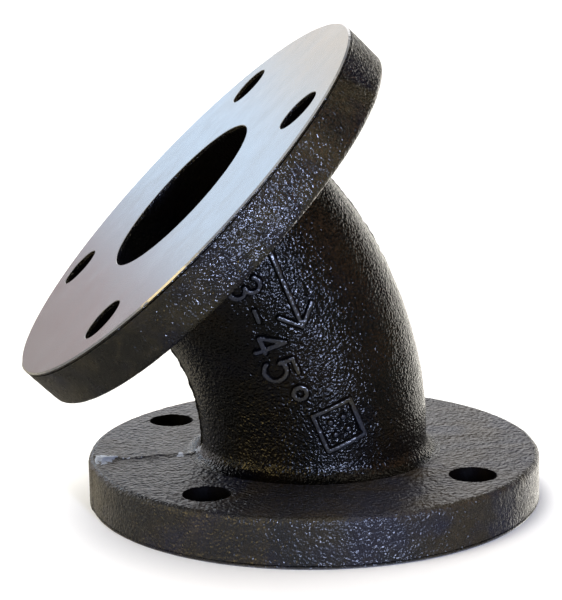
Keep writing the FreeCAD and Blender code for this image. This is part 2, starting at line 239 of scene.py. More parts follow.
def fill_plan(discs, spacing, fine_from, coarse):
    """Triangles between an outer disc's edge and inner ones, each (centre, radius, count).

    The points lie spacing apart beyond the radius fine_from, and coarse apart within it. Returns
    the flat points, the triangles and each disc's ring of point numbers.
    """
    rng = np.random.default_rng(PLAN_SEED)
    reach = discs[0][1]
    rings = [circle(*disc) for disc in discs]
    inside = []
    for pitch, low, high in ((spacing, fine_from, reach), (coarse, 0.0, fine_from)):
        across = np.arange(-reach, reach, pitch)
        x, y = np.meshgrid(across, np.arange(-reach, reach, pitch * math.sqrt(0.75)))
        x[1::2] += pitch / 2
        shift = rng.uniform(-PLAN_JITTER, PLAN_JITTER, (x.size, 2)) * pitch
        flat = np.stack([x.ravel(), y.ravel()], axis=1) + shift
        far = np.linalg.norm(flat, axis=1)
        gap = PLAN_CLEARANCE * pitch
        keep = (far > low) & (far < high - gap)
        for centre, radius, _ in discs[1:]:
            keep &= np.linalg.norm(flat - centre, axis=1) > radius + gap
        inside.append(flat[keep])
    starts = np.cumsum([0] + [len(ring) for ring in rings])
    edges = [
        (int(start + n), int(start + (n + 1) % len(ring)))
        for start, ring in zip(starts, rings)
        for n in range(len(ring))
    ]
    given = np.concatenate(rings + inside)
    found = delaunay_2d_cdt([Vector(p) for p in given.tolist()], edges, [], 0, MERGE_DISTANCE)
    flat, triangles, sources = np.array(found[0]), np.array(found[2]), found[3]
    number = {source: n for n, many in enumerate(sources) for source in many}
    middle = flat[triangles].mean(axis=1)
    keep = np.linalg.norm(middle, axis=1) < reach
    for centre, radius, count in discs[1:]:
        keep &= np.linalg.norm(middle - centre, axis=1) > radius * math.cos(math.pi / count)
    loops = [
        np.array([number[start + n] for n in range(len(ring))])
        for start, ring in zip(starts, rings)
    ]
    return flat, triangles[keep], loops


# ---------------------------------------------------------------- places

# Turns a piece made for the lower face into the upper one: its own +Z runs into the upper leg.
# The side under the bend is -X in both.
UPPER_PLACE = np.array(
    Matrix.Translation(Vector(UPPER_FACE))
    @ Matrix.Rotation(math.pi - BEND, 4, "Y")
    @ Matrix.Rotation(math.pi, 4, "Z")
)
LOWER_PLACE = np.eye(4)
HOLE_CENTRES = [
    BOLT_CIRCLE_R * np.array((math.cos(turn), math.sin(turn)))
    for turn in (2 * math.pi * (n + 0.5) / BOLT_COUNT for n in range(BOLT_COUNT))
]


def placed(points, place):
    return points @ place[:3, :3].T + place[:3, 3]


def local(points, place):
    return (points - place[:3, 3]) @ place[:3, :3]


def leg(s):
    """The centreline s metres from the lower face, and directions towards the bend's outside."""
    turn = np.clip((s - BEND_START) / BEND_R, 0, BEND)
    straight = s - BEND_START - BEND_R * turn
    outward = np.stack([np.cos(turn), 0 * turn, np.sin(turn)], axis=-1)
    onward = np.stack([-np.sin(turn), 0 * turn, np.cos(turn)], axis=-1)
    axis = np.array((-BEND_R, 0.0, BEND_START))
    return axis + BEND_R * outward + onward * straight[..., None], outward


def around(s, angle):
    """Centreline points, and directions out of them at an angle from the bend's outside."""
    middle, outward = leg(s)
    return middle, outward * np.cos(angle)[..., None] + Y_AXIS * np.sin(angle)[..., None]


def parting_ridge(points, place):
    """The ridge and the slight step that the mould joint leaves across a flange's back and rim.

    The side under the bend is the rougher one, and a stub of flash is left at its rim.
    """
    own = local(points, place)
    far = np.hypot(own[:, 0], own[:, 1])
    inner_side = step(10 * MM, -10 * MM, own[:, 0])
    off = (own[:, 1] - parting_sway(points)) / MM
    strength = (0.7 + 0.7 * ragged(points + 0.5, 6 * MM)) * (0.22 + 0.38 * inner_side)
    ridge = strength * np.exp(-((off / 2.2) ** 2))
    mismatch = (0.10 + 0.16 * inner_side) * np.tanh(off / 0.8) * np.exp(-((off / 12) ** 2))
    stub = step(FLANGE_R - 16 * MM, FLANGE_R - 6 * MM, far) * np.exp(-((off / 5.5) ** 2))
    stub *= inner_side * (1.1 + 1.0 * ragged(points + 0.8, 3.5 * MM))
    return MM * (ridge + mismatch + stub) * step(BARREL_R, BARREL_R + 4 * MM, far)


# ---------------------------------------------------------------- barrel

COLUMNS = 400
SKIRT = 2.0 * MM  # how far the barrel's foot runs on, just under the flange's back
SKIRT_DEPTH = 0.7 * MM
FILLET_ROWS = 9
MIDDLE_ROWS = 124
BORE_ROWS = 44
TATTER_SIZE = 2.2 * MM  # of the ragged outline of knocked-off flash and its painted glint


def barrel_profile():
    """Rows of (distance along the leg, radius): out along the skin, then back through the bore."""
    curve = [math.radians(angle) for angle in np.linspace(270, 180, FILLET_ROWS)]
    root, centre = BARREL_R + HUB_FILLET, BACK + HUB_FILLET
    foot = [(centre + HUB_FILLET * math.sin(a), root + HUB_FILLET * math.cos(a)) for a in curve]
    foot.insert(0, (BACK - SKIRT_DEPTH, root + SKIRT))
    low, high = centre, LENGTH - centre
    middle = [(s, BARREL_R) for s in np.linspace(low, high, MIDDLE_ROWS)[1:-1]]
    head = [(LENGTH - s, radius) for s, radius in reversed(foot)]
    through = [(s, BORE_R) for s in np.linspace(LENGTH - BACK, BACK, BORE_ROWS)]
    return np.array(foot + middle + head + through)


def barrel_relief(points):
    """The cast skin, with the parting ridges of the two flanges carried on over their fillets."""
    relief = cast_relief(points)
    for place in (LOWER_PLACE, UPPER_PLACE):
        at_foot = step(BACK + HUB_FILLET, BACK + 0.6 * HUB_FILLET, local(points, place)[:, 2])
        relief += at_foot * parting_ridge(points, place)
    return relief


def torn_foot_glint(points):
    """Which points of the barrel's lower fillet lie where the throat's flash was knocked off, and so
    take bare iron with a painted glint.
    """
    inset = 0.45 * HUB_FILLET
    spot = np.array((-BARREL_R - inset, 0.0, BACK + inset))
    return np.linalg.norm(points - spot, axis=-1) / MM + 1.2 * ragged(points, TATTER_SIZE) < 2.4


def barrel_piece(coats):
    """The barrel's coats are for its outside, its bore and the knocked-off flash at the throat's
    foot, which is bare iron painted pale as a glint.
    """
    outside, inside, chip_glint_slot = range(3)
    rows = barrel_profile()
    angles = np.arange(COLUMNS) * (2 * math.pi / COLUMNS)
    s, angle = np.meshgrid(rows[:, 0], angles, indexing="ij")
    middle, out = around(s, angle)
    points = middle + out * rows[:, 1][:, None, None]
    skin = Skin()
    numbers = skin.add_points(points.reshape(-1, 3)).reshape(len(rows), COLUMNS)
    within = rows[:, 1] < BORE_R + MM
    for one, other, inner, ring in zip(numbers, np.roll(numbers, -1, axis=0), within, points):
        skin.bridge(one, other, np.where(torn_foot_glint(ring), chip_glint_slot, inside if inner else outside))
    mesh = skin.mesh("barrel_skin")
    roughen(mesh, barrel_relief)
    make_piece("barrel_skin", mesh, coats)


# ---------------------------------------------------------------- flanges and facings

RIM_COUNT = 720
BORE_COUNT = 240
HOLE_COUNT = 72
HOLE_EDGE = 0.18 * MM
RIM_INSET = 0.34 * MM
FACE_EDGE = 0.5 * MM
RIM_LOW, RIM_HIGH = -0.42 * MM, -0.02 * MM
BACK_LOW, BACK_HIGH = -0.5 * MM, 1.4 * MM
BACK_PITCH = 0.9 * MM
UNDER_BARREL_PITCH = 4 * MM
JOINT_PITCH = 6 * MM  # where a flange meets its facing, out of sight
FACE_PITCH = 5 * MM
RIM_ROWS = 20
RIM_CURVE_ROWS = 7
THROUGH_ROWS = 12
NEAR = 0.1 * MM
FACE_SHARP = 25  # degrees, so that the face's broken edges stay crisp


def parting_sway(points):
    """How far the mould joint wanders off the flange's middle line."""
    return 1.4 * MM * ragged(points, 16 * MM) + 0.5 * MM * ragged(points + 0.3, 4 * MM)


def torn_flash_glint(own, points):
    """Which points of a flange's back lie on knocked-off flash, which is bare iron with a painted
    glint.

    own has the points in the flange's own place, and points has them in the part's frame.
    """
    to_rim = (own[:, 0] + FLANGE_R) / MM
    off = (own[:, 1] - parting_sway(points)) / MM
    tatter = ragged(points + 0.9, TATTER_SIZE)
    stub = np.hypot(0.6 * (to_rim - 5.5), 0.5 * (off + 1.0)) + 1.6 * tatter < 2.4
    streak = (to_rim < 24) & (np.abs(off) + 0.06 * to_rim + 1.2 * tatter < 1.2)
    foot = np.hypot(to_rim - 38.0, 0.6 * off) + 1.2 * tatter < 1.4
    return stub | streak | foot


def held_inside(relief):
    """Keeps a rim's relief within the flange's outline."""
    return np.clip(relief, RIM_LOW, RIM_HIGH)


def flange_relief(points, place):
    """The cast skin on a flange's back and rim.

    There is none in the drilled holes, and it fades out towards the bore's mouth.
    """
    own = local(points, place)
    far, height = np.hypot(own[:, 0], own[:, 1]), own[:, 2]
    relief = cast_relief(points) + parting_ridge(points, place)
    on_rim = step(FLANGE_R - RIM_FILLET, FLANGE_R, far)
    relief = np.where(on_rim > 0, held_inside(relief - on_rim * RIM_INSET), relief)
    at_back = np.clip(relief, BACK_LOW, BACK_HIGH)
    in_bore = step(2 * MM, 10 * MM, height) * relief
    result = np.where(far < BORE_R + MM, in_bore, at_back)
    for centre in HOLE_CENTRES:
        in_hole = np.linalg.norm(own[:, :2] - centre, axis=1) < HOLE_R + NEAR
        result = np.where(in_hole, 0.0, result)
    return result


def plan_discs(edge_r, bore_r, hole_r):
    """The outlines of a plan: the rim, the bore and the bolt holes."""
    holes = [(centre, hole_r, HOLE_COUNT) for centre in HOLE_CENTRES]
    return [(FLAT_MIDDLE, edge_r, RIM_COUNT), (FLAT_MIDDLE, bore_r, BORE_COUNT)] + holes


def flange_piece(name, place, coats):
    """The flange's coats are for its back, bore, knocked-off flash painted pale as a glint, rim and
    bolt holes.
    """
    outside, inside, chip_glint_slot, rubbed_and_lit, drilled = range(5)
    skin = Skin()
    back, back_faces, back_rings = fill_plan(
        plan_discs(FLANGE_R - RIM_FILLET, BORE_R, HOLE_R + HOLE_EDGE),
        BACK_PITCH,
        BARREL_R,
        UNDER_BARREL_PITCH,
    )
    front, front_faces, front_rings = fill_plan(
        plan_discs(FLANGE_R, BORE_R, HOLE_R), JOINT_PITCH, 0.0, JOINT_PITCH
    )
    at_back = skin.add_points(at_height(back, BACK))
    at_front = skin.add_points(at_height(front, FACING))
    middles = at_height(back[back_faces].mean(axis=1), BACK)
    # Faces on knocked-off flash take bare iron with a painted glint.
    torn = torn_flash_glint(middles, placed(middles, place))
    skin.add_faces(at_back[back_faces[~torn]], outside)
    skin.add_faces(at_back[back_faces[torn]], chip_glint_slot)
    skin.add_faces(at_front[front_faces], outside)
    shoulder = BACK - RIM_FILLET
    heights = np.linspace(FACING, shoulder, RIM_ROWS)[1:]
    rim = [ring_at(z, FLANGE_R, RIM_COUNT) for z in heights]
    for turn in np.linspace(0, math.pi / 2, RIM_CURVE_ROWS)[1:-1]:
        radius = FLANGE_R - RIM_FILLET * (1 - math.cos(turn))
        rim.append(ring_at(shoulder + RIM_FILLET * math.sin(turn), radius, RIM_COUNT))
    # The rim takes the rim coat: partly rubbing, partly painted light.
    skin.wall(at_front[front_rings[0]], at_back[back_rings[0]], rim, rubbed_and_lit)
    depths = np.linspace(FACING, BACK, THROUGH_ROWS)[1:-1]
    through = [ring_at(z, BORE_R, BORE_COUNT) for z in depths]
    skin.wall(at_front[front_rings[1]], at_back[back_rings[1]], through, inside)
    for centre, low, high in zip(HOLE_CENTRES, front_rings[2:], back_rings[2:]):
        wall = [ring_at(z, HOLE_R, HOLE_COUNT, centre) for z in (BACK / 2, BACK - HOLE_EDGE)]
        skin.wall(at_front[low], at_back[high], wall, drilled)
    skin.points = [placed(points, place) for points in skin.points]
    mesh = skin.mesh(name)
    roughen(mesh, lambda points: flange_relief(points, place))
    make_piece(name, mesh, coats)


def facing_piece(name, place, metal, coat):
    """The machined layer. Its face and edges are bare metal, and its walls carry the coat."""
    bare, coated = 0, 1
    skin = Skin()
    face, face_faces, face_rings = fill_plan(
        plan_discs(FLANGE_R - RIM_INSET - FACE_EDGE, BORE_R + HOLE_EDGE, HOLE_R + HOLE_EDGE),
        FACE_PITCH,
        0.0,
        FACE_PITCH,
    )
    outlines = plan_discs(FLANGE_R, BORE_R, HOLE_R)
    inner, inner_faces, inner_rings = fill_plan(outlines, JOINT_PITCH, 0.0, JOINT_PITCH)
    at_face = skin.add_points(at_height(face, 0.0))
    at_inner = skin.add_points(at_height(inner, FACING))
    skin.add_faces(at_face[face_faces], bare)
    skin.add_faces(at_inner[inner_faces], coated)
    depths = [FACE_EDGE] + [HOLE_EDGE] * (1 + BOLT_COUNT)
    for disc, depth, low, high in zip(outlines, depths, face_rings, inner_rings):
        edge = skin.add_points(at_height(circle(*disc), depth))
        skin.bridge(at_face[low], edge, bare)
        skin.bridge(edge, at_inner[high], coated)
    skin.points = [placed(points, place) for points in skin.points]
    mesh = skin.mesh(name)

    def relief(points):
        own = local(points, place)
        far = np.hypot(own[:, 0], own[:, 1])
        rough = held_inside(cast_relief(points) + parting_ridge(points, place) - RIM_INSET)
        return np.where((far > FLANGE_R - NEAR) & (own[:, 2] > NEAR), rough, 0.0)

    roughen(mesh, relief)
    make_piece(name, mesh, [metal, coat], sharp=FACE_SHARP)


# ---------------------------------------------------------------- raised marks and seams

SINK = 0.35 * MM
ROOT = 1.0 * MM
RAISED_SHARP = 80  # degrees
SEAM_ROWS, SEAM_COLUMNS = 240, 27
SEAM_REACH = 3.2  # mm to each side
SEAM_CHIP_GLINT_FROM = 0.72 * MM
MARK_WORN_LIT_SHARE = 0.72
MARK_PITCH = 0.33 * MM
MARK_STROKE = 2.6 * MM
MARK_FLANK = 0.55 * MM
MARK_MARGIN = 4 * MM


def raised_piece(name, s, angle, height, coats, lighter_coat_from):
    """A closed patch over the barrel where height, over a grid of (s, angle), rises above its skin.

    The patch dips just under the skin at its edge, so that it grows out of the casting. Faces that
    stand higher than the given level take the second coat, when there is one: on the marks a paler
    one, partly wear and partly painted highlight, and on the throat seam bare iron with a painted
    glint.
    """
    middle, out = around(s, angle)
    smooth = middle + out * BARREL_R
    relief = cast_relief(smooth.reshape(-1, 3)).reshape(s.shape)
    top = smooth + out * (relief + height)[..., None]
    bottom = smooth + out * (relief - ROOT)[..., None]
    rows, columns = s.shape
    above = height > -SINK
    cells = above[:-1, :-1] | above[1:, :-1] | above[:-1, 1:] | above[1:, 1:]
    number = np.arange(rows * columns).reshape(rows, columns)
    corners = (number[:-1, :-1], number[1:, :-1], number[1:, 1:], number[:-1, 1:])
    quads = np.stack([corner[cells] for corner in corners], axis=1)
    sides = np.concatenate([quads[:, [n, (n + 1) % 4]] for n in range(4)])
    code = sides[:, 0] * number.size + sides[:, 1]
    mirrored = sides[:, 1] * number.size + sides[:, 0]
    border = sides[~np.isin(code, mirrored)]
    under = number.size
    faces = np.concatenate(
        [
            quads,
            quads[:, ::-1] + under,
            np.column_stack([border[:, ::-1], border + under]),
        ]
    )
    used, faces = np.unique(faces, return_inverse=True)
    skin = Skin()
    skin.add_points(np.concatenate([top.reshape(-1, 3), bottom.reshape(-1, 3)])[used])
    faces = faces.reshape(-1, 4)
    level = np.append(height.ravel(), np.full(number.size, -ROOT))[used]
    # The tops take the second coat: paler on the marks, partly wear and partly painted highlight,
    # and bare iron with a painted glint on the throat seam.
    worn = (level[faces].min(axis=1) > lighter_coat_from) & (len(coats) > 1)
    skin.add_faces(faces[~worn], 0)
    skin.add_faces(faces[worn], 1)
    make_piece(name, skin.mesh(name), coats, sharp=RAISED_SHARP)


def seam_piece(name, middle_angle, coats):
    """The ragged parting ridge along the bend's inside or outside."""
    s, across = np.meshgrid(
        np.linspace(BACK, LENGTH - BACK, SEAM_ROWS),
        np.linspace(-SEAM_REACH, SEAM_REACH, SEAM_COLUMNS) * MM,
        indexing="ij",
    )
    angle = middle_angle + across / BARREL_R
    where, out = around(s, angle)
    spots = (where + out * BARREL_R).reshape(-1, 3)
    sway = 0.35 * MM * ragged(spots, 9 * MM).reshape(s.shape)
    torn = 0.75 + 0.5 * ragged(spots + 0.4, 4 * MM) + 0.35 * ragged(spots + 0.6, 1.6 * MM)
    off = np.abs(across - sway) / MM
    height = MM * (0.8 * torn.reshape(s.shape) * np.exp(-((off / 0.75) ** 2)) - 0.16 * off)
    raised_piece(name, s, angle, height, coats, SEAM_CHIP_GLINT_FROM)


def mark_grid(low, high):
    """A grid over the mark plane between two corners, and its (s, angle) on the barrel's -Y side.

    In the mark plane x runs down the barrel from mid-bend, and y towards the bend's outside.
    """
    x, y = np.meshgrid(
        np.arange(low[0], high[0], MARK_PITCH),
        np.arange(low[1], high[1], MARK_PITCH),
        indexing="ij",
    )
    half = BEND / 2
    along = np.array((math.sin(half), 0.0, -math.cos(half)))
    across = np.array((math.cos(half), 0.0, math.sin(half)))
    from_axis = across * BEND_R + along * x[..., None] + across * y[..., None]
    turn = np.arctan2(from_axis[..., 2], from_axis[..., 0])
    rise = np.linalg.norm(from_axis, axis=-1) - BEND_R
    return x, y, BEND_START + BEND_R * turn, -np.arccos(rise / BARREL_R)


def from_bar(x, y, start, end):
    """Distance from a straight stroke's middle line."""
    (x0, y0), (x1, y1) = start, end
    share = ((x - x0) * (x1 - x0) + (y - y0) * (y1 - y0)) / ((x1 - x0) ** 2 + (y1 - y0) ** 2)
    share = np.clip(share, 0, 1)
    return np.hypot(x - x0 - share * (x1 - x0), y - y0 - share * (y1 - y0))


def from_bow(x, y, centre, radius, first, last):
    """Distance from a curved stroke's middle line, between two angles in degrees."""
    dx, dy = x - centre[0], y - centre[1]
    first, last = math.radians(first), math.radians(last)
    turn = np.mod(np.arctan2(dy, dx) - first, 2 * math.pi)
    ends = [
        np.hypot(dx - radius * math.cos(a), dy - radius * math.sin(a)) for a in (first, last)
    ]
    return np.where(turn <= last - first, np.abs(np.hypot(dx, dy) - radius), np.minimum(*ends))


def mark_piece(name, low, high, strokes, coats):
    """Raised strokes, each given as the distance from its middle line over the mark plane."""
    x, y, s, angle = mark_grid(low, high)
    off = np.minimum.reduce([each(x, y) for each in strokes])
    middle, out = around(s, angle)
    spots = (middle + out * BARREL_R).reshape(-1, 3)
    off = off + 0.16 * MM * ragged(spots, 2.4 * MM).reshape(s.shape)
    worn = 1 - 0.08 * (1 + ragged(spots + 0.7, 7 * MM).reshape(s.shape))
    half = MARK_STROKE / 2
    crown = 1 - 0.18 * np.clip(off / half, 0, 1) ** 2
    flank = 1 - step(0.55 * half, half + MARK_FLANK, off)
    height = (MARK_HEIGHT + SINK) * worn * crown * flank - SINK
    height = np.where(off > half + MARK_FLANK, -2 * SINK, height)
    raised_piece(name, s, angle, height, coats, MARK_WORN_LIT_SHARE * MARK_HEIGHT)


DIGIT_W, DIGIT_H, DIGIT_PITCH = 9.5 * MM, 15.0 * MM, 12.3 * MM
ROW_START, ROW_LEVEL = -35.5 * MM, -14.5 * MM
NOMINAL_STROKE = 2.8 * MM  # the drawn width that the digits are proportioned for


def in_digit(place, u, v):
    """A point of a digit, in fractions of its width and height from its middle."""
    return ROW_START + place * DIGIT_PITCH + u * DIGIT_W, ROW_LEVEL + v * DIGIT_H


def bar(start, end):
    return lambda x, y: from_bar(x, y, start, end)


def bow(centre, radius, first, last):
    return lambda x, y: from_bow(x, y, centre, radius, first, last)


def three(place):
    bowl = (DIGIT_H - NOMINAL_STROKE) / 4
    share = bowl / DIGIT_H
    return [
        bow(in_digit(place, 0, share), bowl, -90, 150),
        bow(in_digit(place, 0, -share), bowl, -150, 90),
    ]


def four(place):
    head, heel = in_digit(place, 0.2, 0.4), in_digit(place, -0.36, -0.17)
    return [
        bar(in_digit(place, 0.2, -0.4), head),
        bar(heel, in_digit(place, 0.36, -0.17)),
        bar(heel, head),
    ]


def five(place):
    corner = in_digit(place, -0.33, 0.4)
    return [
        bar(corner, in_digit(place, 0.33, 0.4)),
        bar(corner, in_digit(place, -0.33, 0.05)),
        bow(in_digit(place, -0.08, -0.12), 0.28 * DIGIT_H, -145, 130),
    ]


def dash(place):
    return [bar(in_digit(place, -0.25, 0), in_digit(place, 0.25, 0))]


def degree(place):
    return [bow(in_digit(place, -0.1, 0.22), 0.9 * NOMINAL_STROKE, 0, 360)]


def row_piece(name, first, last, strokes, coats):
    """A piece of the number row, from its first digit's place to its last one's."""
    low, high = in_digit(first, -0.8, -0.75), in_digit(last, 0.8, 0.75)
    mark_piece(name, low, high, strokes, coats)


def arrow_piece(coats):
    middle, reach, barb = -28 * MM, 16 * MM, 7 * MM
    tail, tip = (middle - reach, 0.0), (middle + reach, 0.0)
    strokes = [bar(tail, tip), bar(tip, (tip[0] - barb, barb)), bar(tip, (tip[0] - barb, -barb))]
    reach_y = barb + MARK_MARGIN
    low, high = (tail[0] - MARK_MARGIN, -reach_y), (tip[0] + MARK_MARGIN, reach_y)
    mark_piece("flow_arrow_skin", low, high, strokes, coats)


def lot_piece(coats):
    x, y, side, offset, pip_r = 31.5 * MM, -2.5 * MM, 8.0 * MM, 2.7 * MM, 0.2 * MM
    corners = [
        (x - side, y - side), (x + side, y - side), (x + side, y + side), (x - side, y + side)
    ]
    strokes = [bar(a, b) for a, b in zip(corners, corners[1:] + corners[:1])]
    for dx, dy in itertools.product((-offset, offset), repeat=2):
        strokes.append(bow((x + dx, y + dy), pip_r, 0, 360))
    reach = side + MARK_MARGIN
    low, high = (x - reach, y - reach), (x + reach, y + reach)
    mark_piece("lot_mark_skin", low, high, strokes, coats)


# ---------------------------------------------------------------- materials


class Nodes:
    """A new material's node tree, with short calls for what the finishes use."""

    def __init__(self, name):
        self.material = bpy.data.materials.new(name)
        self.material.use_nodes = True
        self.tree = self.material.node_tree
        self.shader = self.tree.nodes["Principled BSDF"]
        self.place = self.add("ShaderNodeTexCoord").outputs["Object"]

    def add(self, kind, **settings):
        node = self.tree.nodes.new(kind)
        for key, value in settings.items():
            setattr(node, key, value)
        return node

    def join(self, source, target):
        self.tree.links.new(source, target)

    def noise(self, size, detail=3.0, roughness=0.55, distortion=0.0):
        """Noise whose features are about size metres across."""
        node = self.add("ShaderNodeTexNoise")
        self.join(self.place, node.inputs["Vector"])
        node.inputs["Scale"].default_value = 1 / size
        node.inputs["Detail"].default_value = detail
        node.inputs["Roughness"].default_value = roughness
        node.inputs["Distortion"].default_value = distortion
        return node.outputs["Fac"]

    def grains(self, size):
        """Round grains about size metres across, 1 at their tops."""
        node = self.add("ShaderNodeTexVoronoi")
        self.join(self.place, node.inputs["Vector"])
        node.inputs["Scale"].default_value = 1 / size
        distance = node.outputs["Distance"]
        return self.math("SUBTRACT", 1.0, self.math("MULTIPLY", distance, distance))

    def spread(self, source, low, high, to_low=0.0, to_high=1.0):
        """Stretches a value from one range to another, and holds it within."""
        node = self.add("ShaderNodeMapRange")
        self.join(source, node.inputs["Value"])
        keys = ("From Min", "From Max", "To Min", "To Max")
        for key, value in zip(keys, (low, high, to_low, to_high)):
            node.inputs[key].default_value = value
        return node.outputs["Result"]

    def blend(self, share, one, other):
        """Mixes two colours, each a tuple or a socket."""
        node = self.add("ShaderNodeMix", data_type="RGBA")
        self.join(share, node.inputs["Factor"])
        for socket, colour in ((node.inputs[6], one), (node.inputs[7], other)):
            if isinstance(colour, tuple):
                socket.default_value = (*colour, 1.0)
            else:
                self.join(colour, socket)
        return node.outputs[2]

    def math(self, operation, one, other):
        node = self.add("ShaderNodeMath", operation=operation)
        for socket, value in zip(node.inputs, (one, other)):
            if isinstance(value, (int, float)):
                socket.default_value = value
            else:
                self.join(value, socket)
        return node.outputs["Value"]

    def bump(self, height, distance, below=None):
        node = self.add("ShaderNodeBump")
        self.join(height, node.inputs["Height"])
        node.inputs["Distance"].default_value = distance
        node.inputs["Strength"].default_value = 1.0
        if below:
            self.join(below, node.inputs["Normal"])
        return node.outputs["Normal"]

    def finish(self, colour, roughness, normal, **constants):
        self.join(colour, self.shader.inputs["Base Color"])
        self.join(roughness, self.shader.inputs["Roughness"])
        self.join(normal, self.shader.inputs["Normal"])
        for key, value in constants.items():
            self.shader.inputs[key.replace("_", " ")].default_value = value
        return self.material


def coat_material(name, shades, specular, sand_depth, roughness=(0.15, 0.34), sand_size=1.1 * MM):
    """Black bituminous paint over sand-cast iron.

    The shades are black, brown and navy ones, and roughness has its lowest and highest value.
    """
    black, brown, navy = shades
    nodes = Nodes(name)
    colour = nodes.blend(nodes.spread(nodes.noise(34 * MM, 3), 0.42, 0.62), black, brown)
    cool = nodes.spread(nodes.noise(27 * MM, 2, 0.5, 0.4), 0.50, 0.66)
    colour = nodes.blend(cool, colour, navy)
    bloom = nodes.spread(nodes.noise(5 * MM, 5, 0.7), 0.54, 0.78, 0.0, 0.5)
    colour = nodes.blend(bloom, colour, tuple(1.9 * c for c in brown))
    gloss = nodes.spread(nodes.noise(3 * MM, 3, 0.6), 0.3, 0.7, *roughness)
    normal = nodes.bump(nodes.noise(sand_size, 0.7, 0.45), sand_depth)
    normal = nodes.bump(nodes.grains(0.9 * sand_size), 0.30 * sand_depth, normal)
    return nodes.finish(colour, gloss, normal, Specular_IOR_Level=specular)


def flash_chip_glint_material():
    """Iron laid bare where flash was knocked off, and a painted highlight: its pale blue-white
    stands in for the glints there.
    """
    nodes = Nodes("knocked_flash_painted_glint")
    colour = nodes.blend(nodes.noise(2 * MM, 3), (0.24, 0.27, 0.33), (0.64, 0.70, 0.80))
    roughness = nodes.spread(nodes.noise(1.5 * MM, 2), 0.3, 0.7, 0.28, 0.5)
    normal = nodes.bump(nodes.noise(0.9 * MM, 2), 0.4 * MM)
    return nodes.finish(colour, roughness, normal, Metallic=0.4)


RING_WIDTH = 0.9 * MM
RING_DEPTH = 0.012 * MM
REFLECTION_BAND_SWAY = 0.14  # the most that noise shifts the painted reflection bands by, up the face, in metres


def metal_material(name, centre, uphill):
    """A turned iron face: faint rings about its centre, soft stains and a few darker specks.

    The metal is grey, with a painted reflection in bands up the face: darker at the bottom, bluish
    above, warm at the top. The room it reflects tints it too.
    """
    nodes = Nodes(name)
    away = nodes.add("ShaderNodeVectorMath", operation="DISTANCE")
    nodes.join(nodes.place, away.inputs[0])
    away.inputs[1].default_value = centre
    rings = nodes.add("ShaderNodeTexNoise", noise_dimensions="1D")
    nodes.join(nodes.math("MULTIPLY", away.outputs["Value"], 1 / RING_WIDTH), rings.inputs["W"])
    rings.inputs["Scale"].default_value = 1.0
    rings.inputs["Detail"].default_value = 2.0
    slope = nodes.add("ShaderNodeVectorMath", operation="DOT_PRODUCT")
    nodes.join(nodes.place, slope.inputs[0])
    slope.inputs[1].default_value = uphill
    sway = nodes.math("MULTIPLY", nodes.noise(50 * MM, 4, 0.55, 0.6), REFLECTION_BAND_SWAY)
    climb = nodes.math("ADD", slope.outputs["Value"], sway)
    level = sum(c * u for c, u in zip(centre, uphill)) + REFLECTION_BAND_SWAY / 2
    # Painted reflection: darker grey below the face's middle, bluish above it, and warm near its
    # top.
    low = nodes.spread(climb, level - 0.030, level + 0.002)
    high = nodes.spread(climb, level + 0.045, level + 0.085)
    colour = nodes.blend(low, (0.250, 0.255, 0.265), (0.275, 0.290, 0.305))
    colour = nodes.blend(high, colour, (0.285, 0.282, 0.275))
    cloud = nodes.spread(nodes.noise(14 * MM, 5, 0.62, 0.3), 0.35, 0.68, 0.0, 0.35)
    colour = nodes.blend(cloud, colour, (0.235, 0.243, 0.255))
    glow = nodes.spread(nodes.noise(22 * MM, 3, 0.5, 0.8), 0.52, 0.72, 0.0, 0.35)
    colour = nodes.blend(glow, colour, (0.325, 0.340, 0.360))
    speck = nodes.spread(nodes.noise(1.3 * MM, 2, 0.5), 0.70, 0.78, 0.0, 0.5)
    colour = nodes.blend(speck, colour, (0.20, 0.19, 0.18))
    roughness = nodes.spread(nodes.noise(12 * MM, 4, 0.6), 0.3, 0.7, 0.16, 0.24)
    normal = nodes.bump(rings.outputs["Fac"], RING_DEPTH)
    return nodes.finish(colour, roughness, normal, Metallic=0.55, Specular_IOR_Level=0.25)


# ---------------------------------------------------------------- stage, lights, camera


FLOOR_REACH = 20.0
LAMPS_LOOK_AT = (-0.02, 0.0, 0.09)
SUN_ANGLE = 65  # degrees across: a wide sun, for soft shadows
SUN_POWER = 3.9
SUN_TOWARDS = (0.3, -0.25, -1.0)
ROOM = (0.014, 0.014, 0.016)

# Patches of the room's walls, later ones over earlier ones. Each has a direction towards its middle,
# the dot products with it where the patch starts and where it is full, and its colour.
PATCHES = (
    ((0.0, 0.0, 1.0), 0.74, 0.96, (1.00, 0.92, 0.74)),  # ceiling
    ((-1.0, 0.0, 0.15), 0.72, 0.95, (0.40, 0.38, 0.28)),  # left wall
    ((-0.26, 0.96, 0.12), 0.70, 0.93, (1.80, 1.80, 1.80)),  # wall behind the elbow
    ((-0.1475, 0.981, 0.127), 0.965, 0.990, (1.08, 1.38, 1.77)),  # blue, all over the face
    ((-0.38, 0.92, -0.10), 0.946, 0.969, (0.68, 0.47, 0.52)),  # pink, its lower third
    ((0.06, 0.95, 0.31), 0.974, 0.988, (1.22, 1.12, 1.02)),  # straw, its top
    ((0.19, 0.935, 0.30), 0.966, 0.985, (2.20, 2.18, 2.20)),  # white, just past its top
    ((0.0, 0.0, -1.0), -0.16, 0.06, (0.16, 0.15, 0.13)),  # lower half of the room
    ((0.60, 0.78, -0.20), 0.90, 0.98, (2.4, 2.3, 2.1)),  # bright patch behind on the right
    ((-0.42, 0.87, -0.24), 0.93, 0.985, (0.65, 0.58, 0.45)),  # warm patch low behind on the left
)

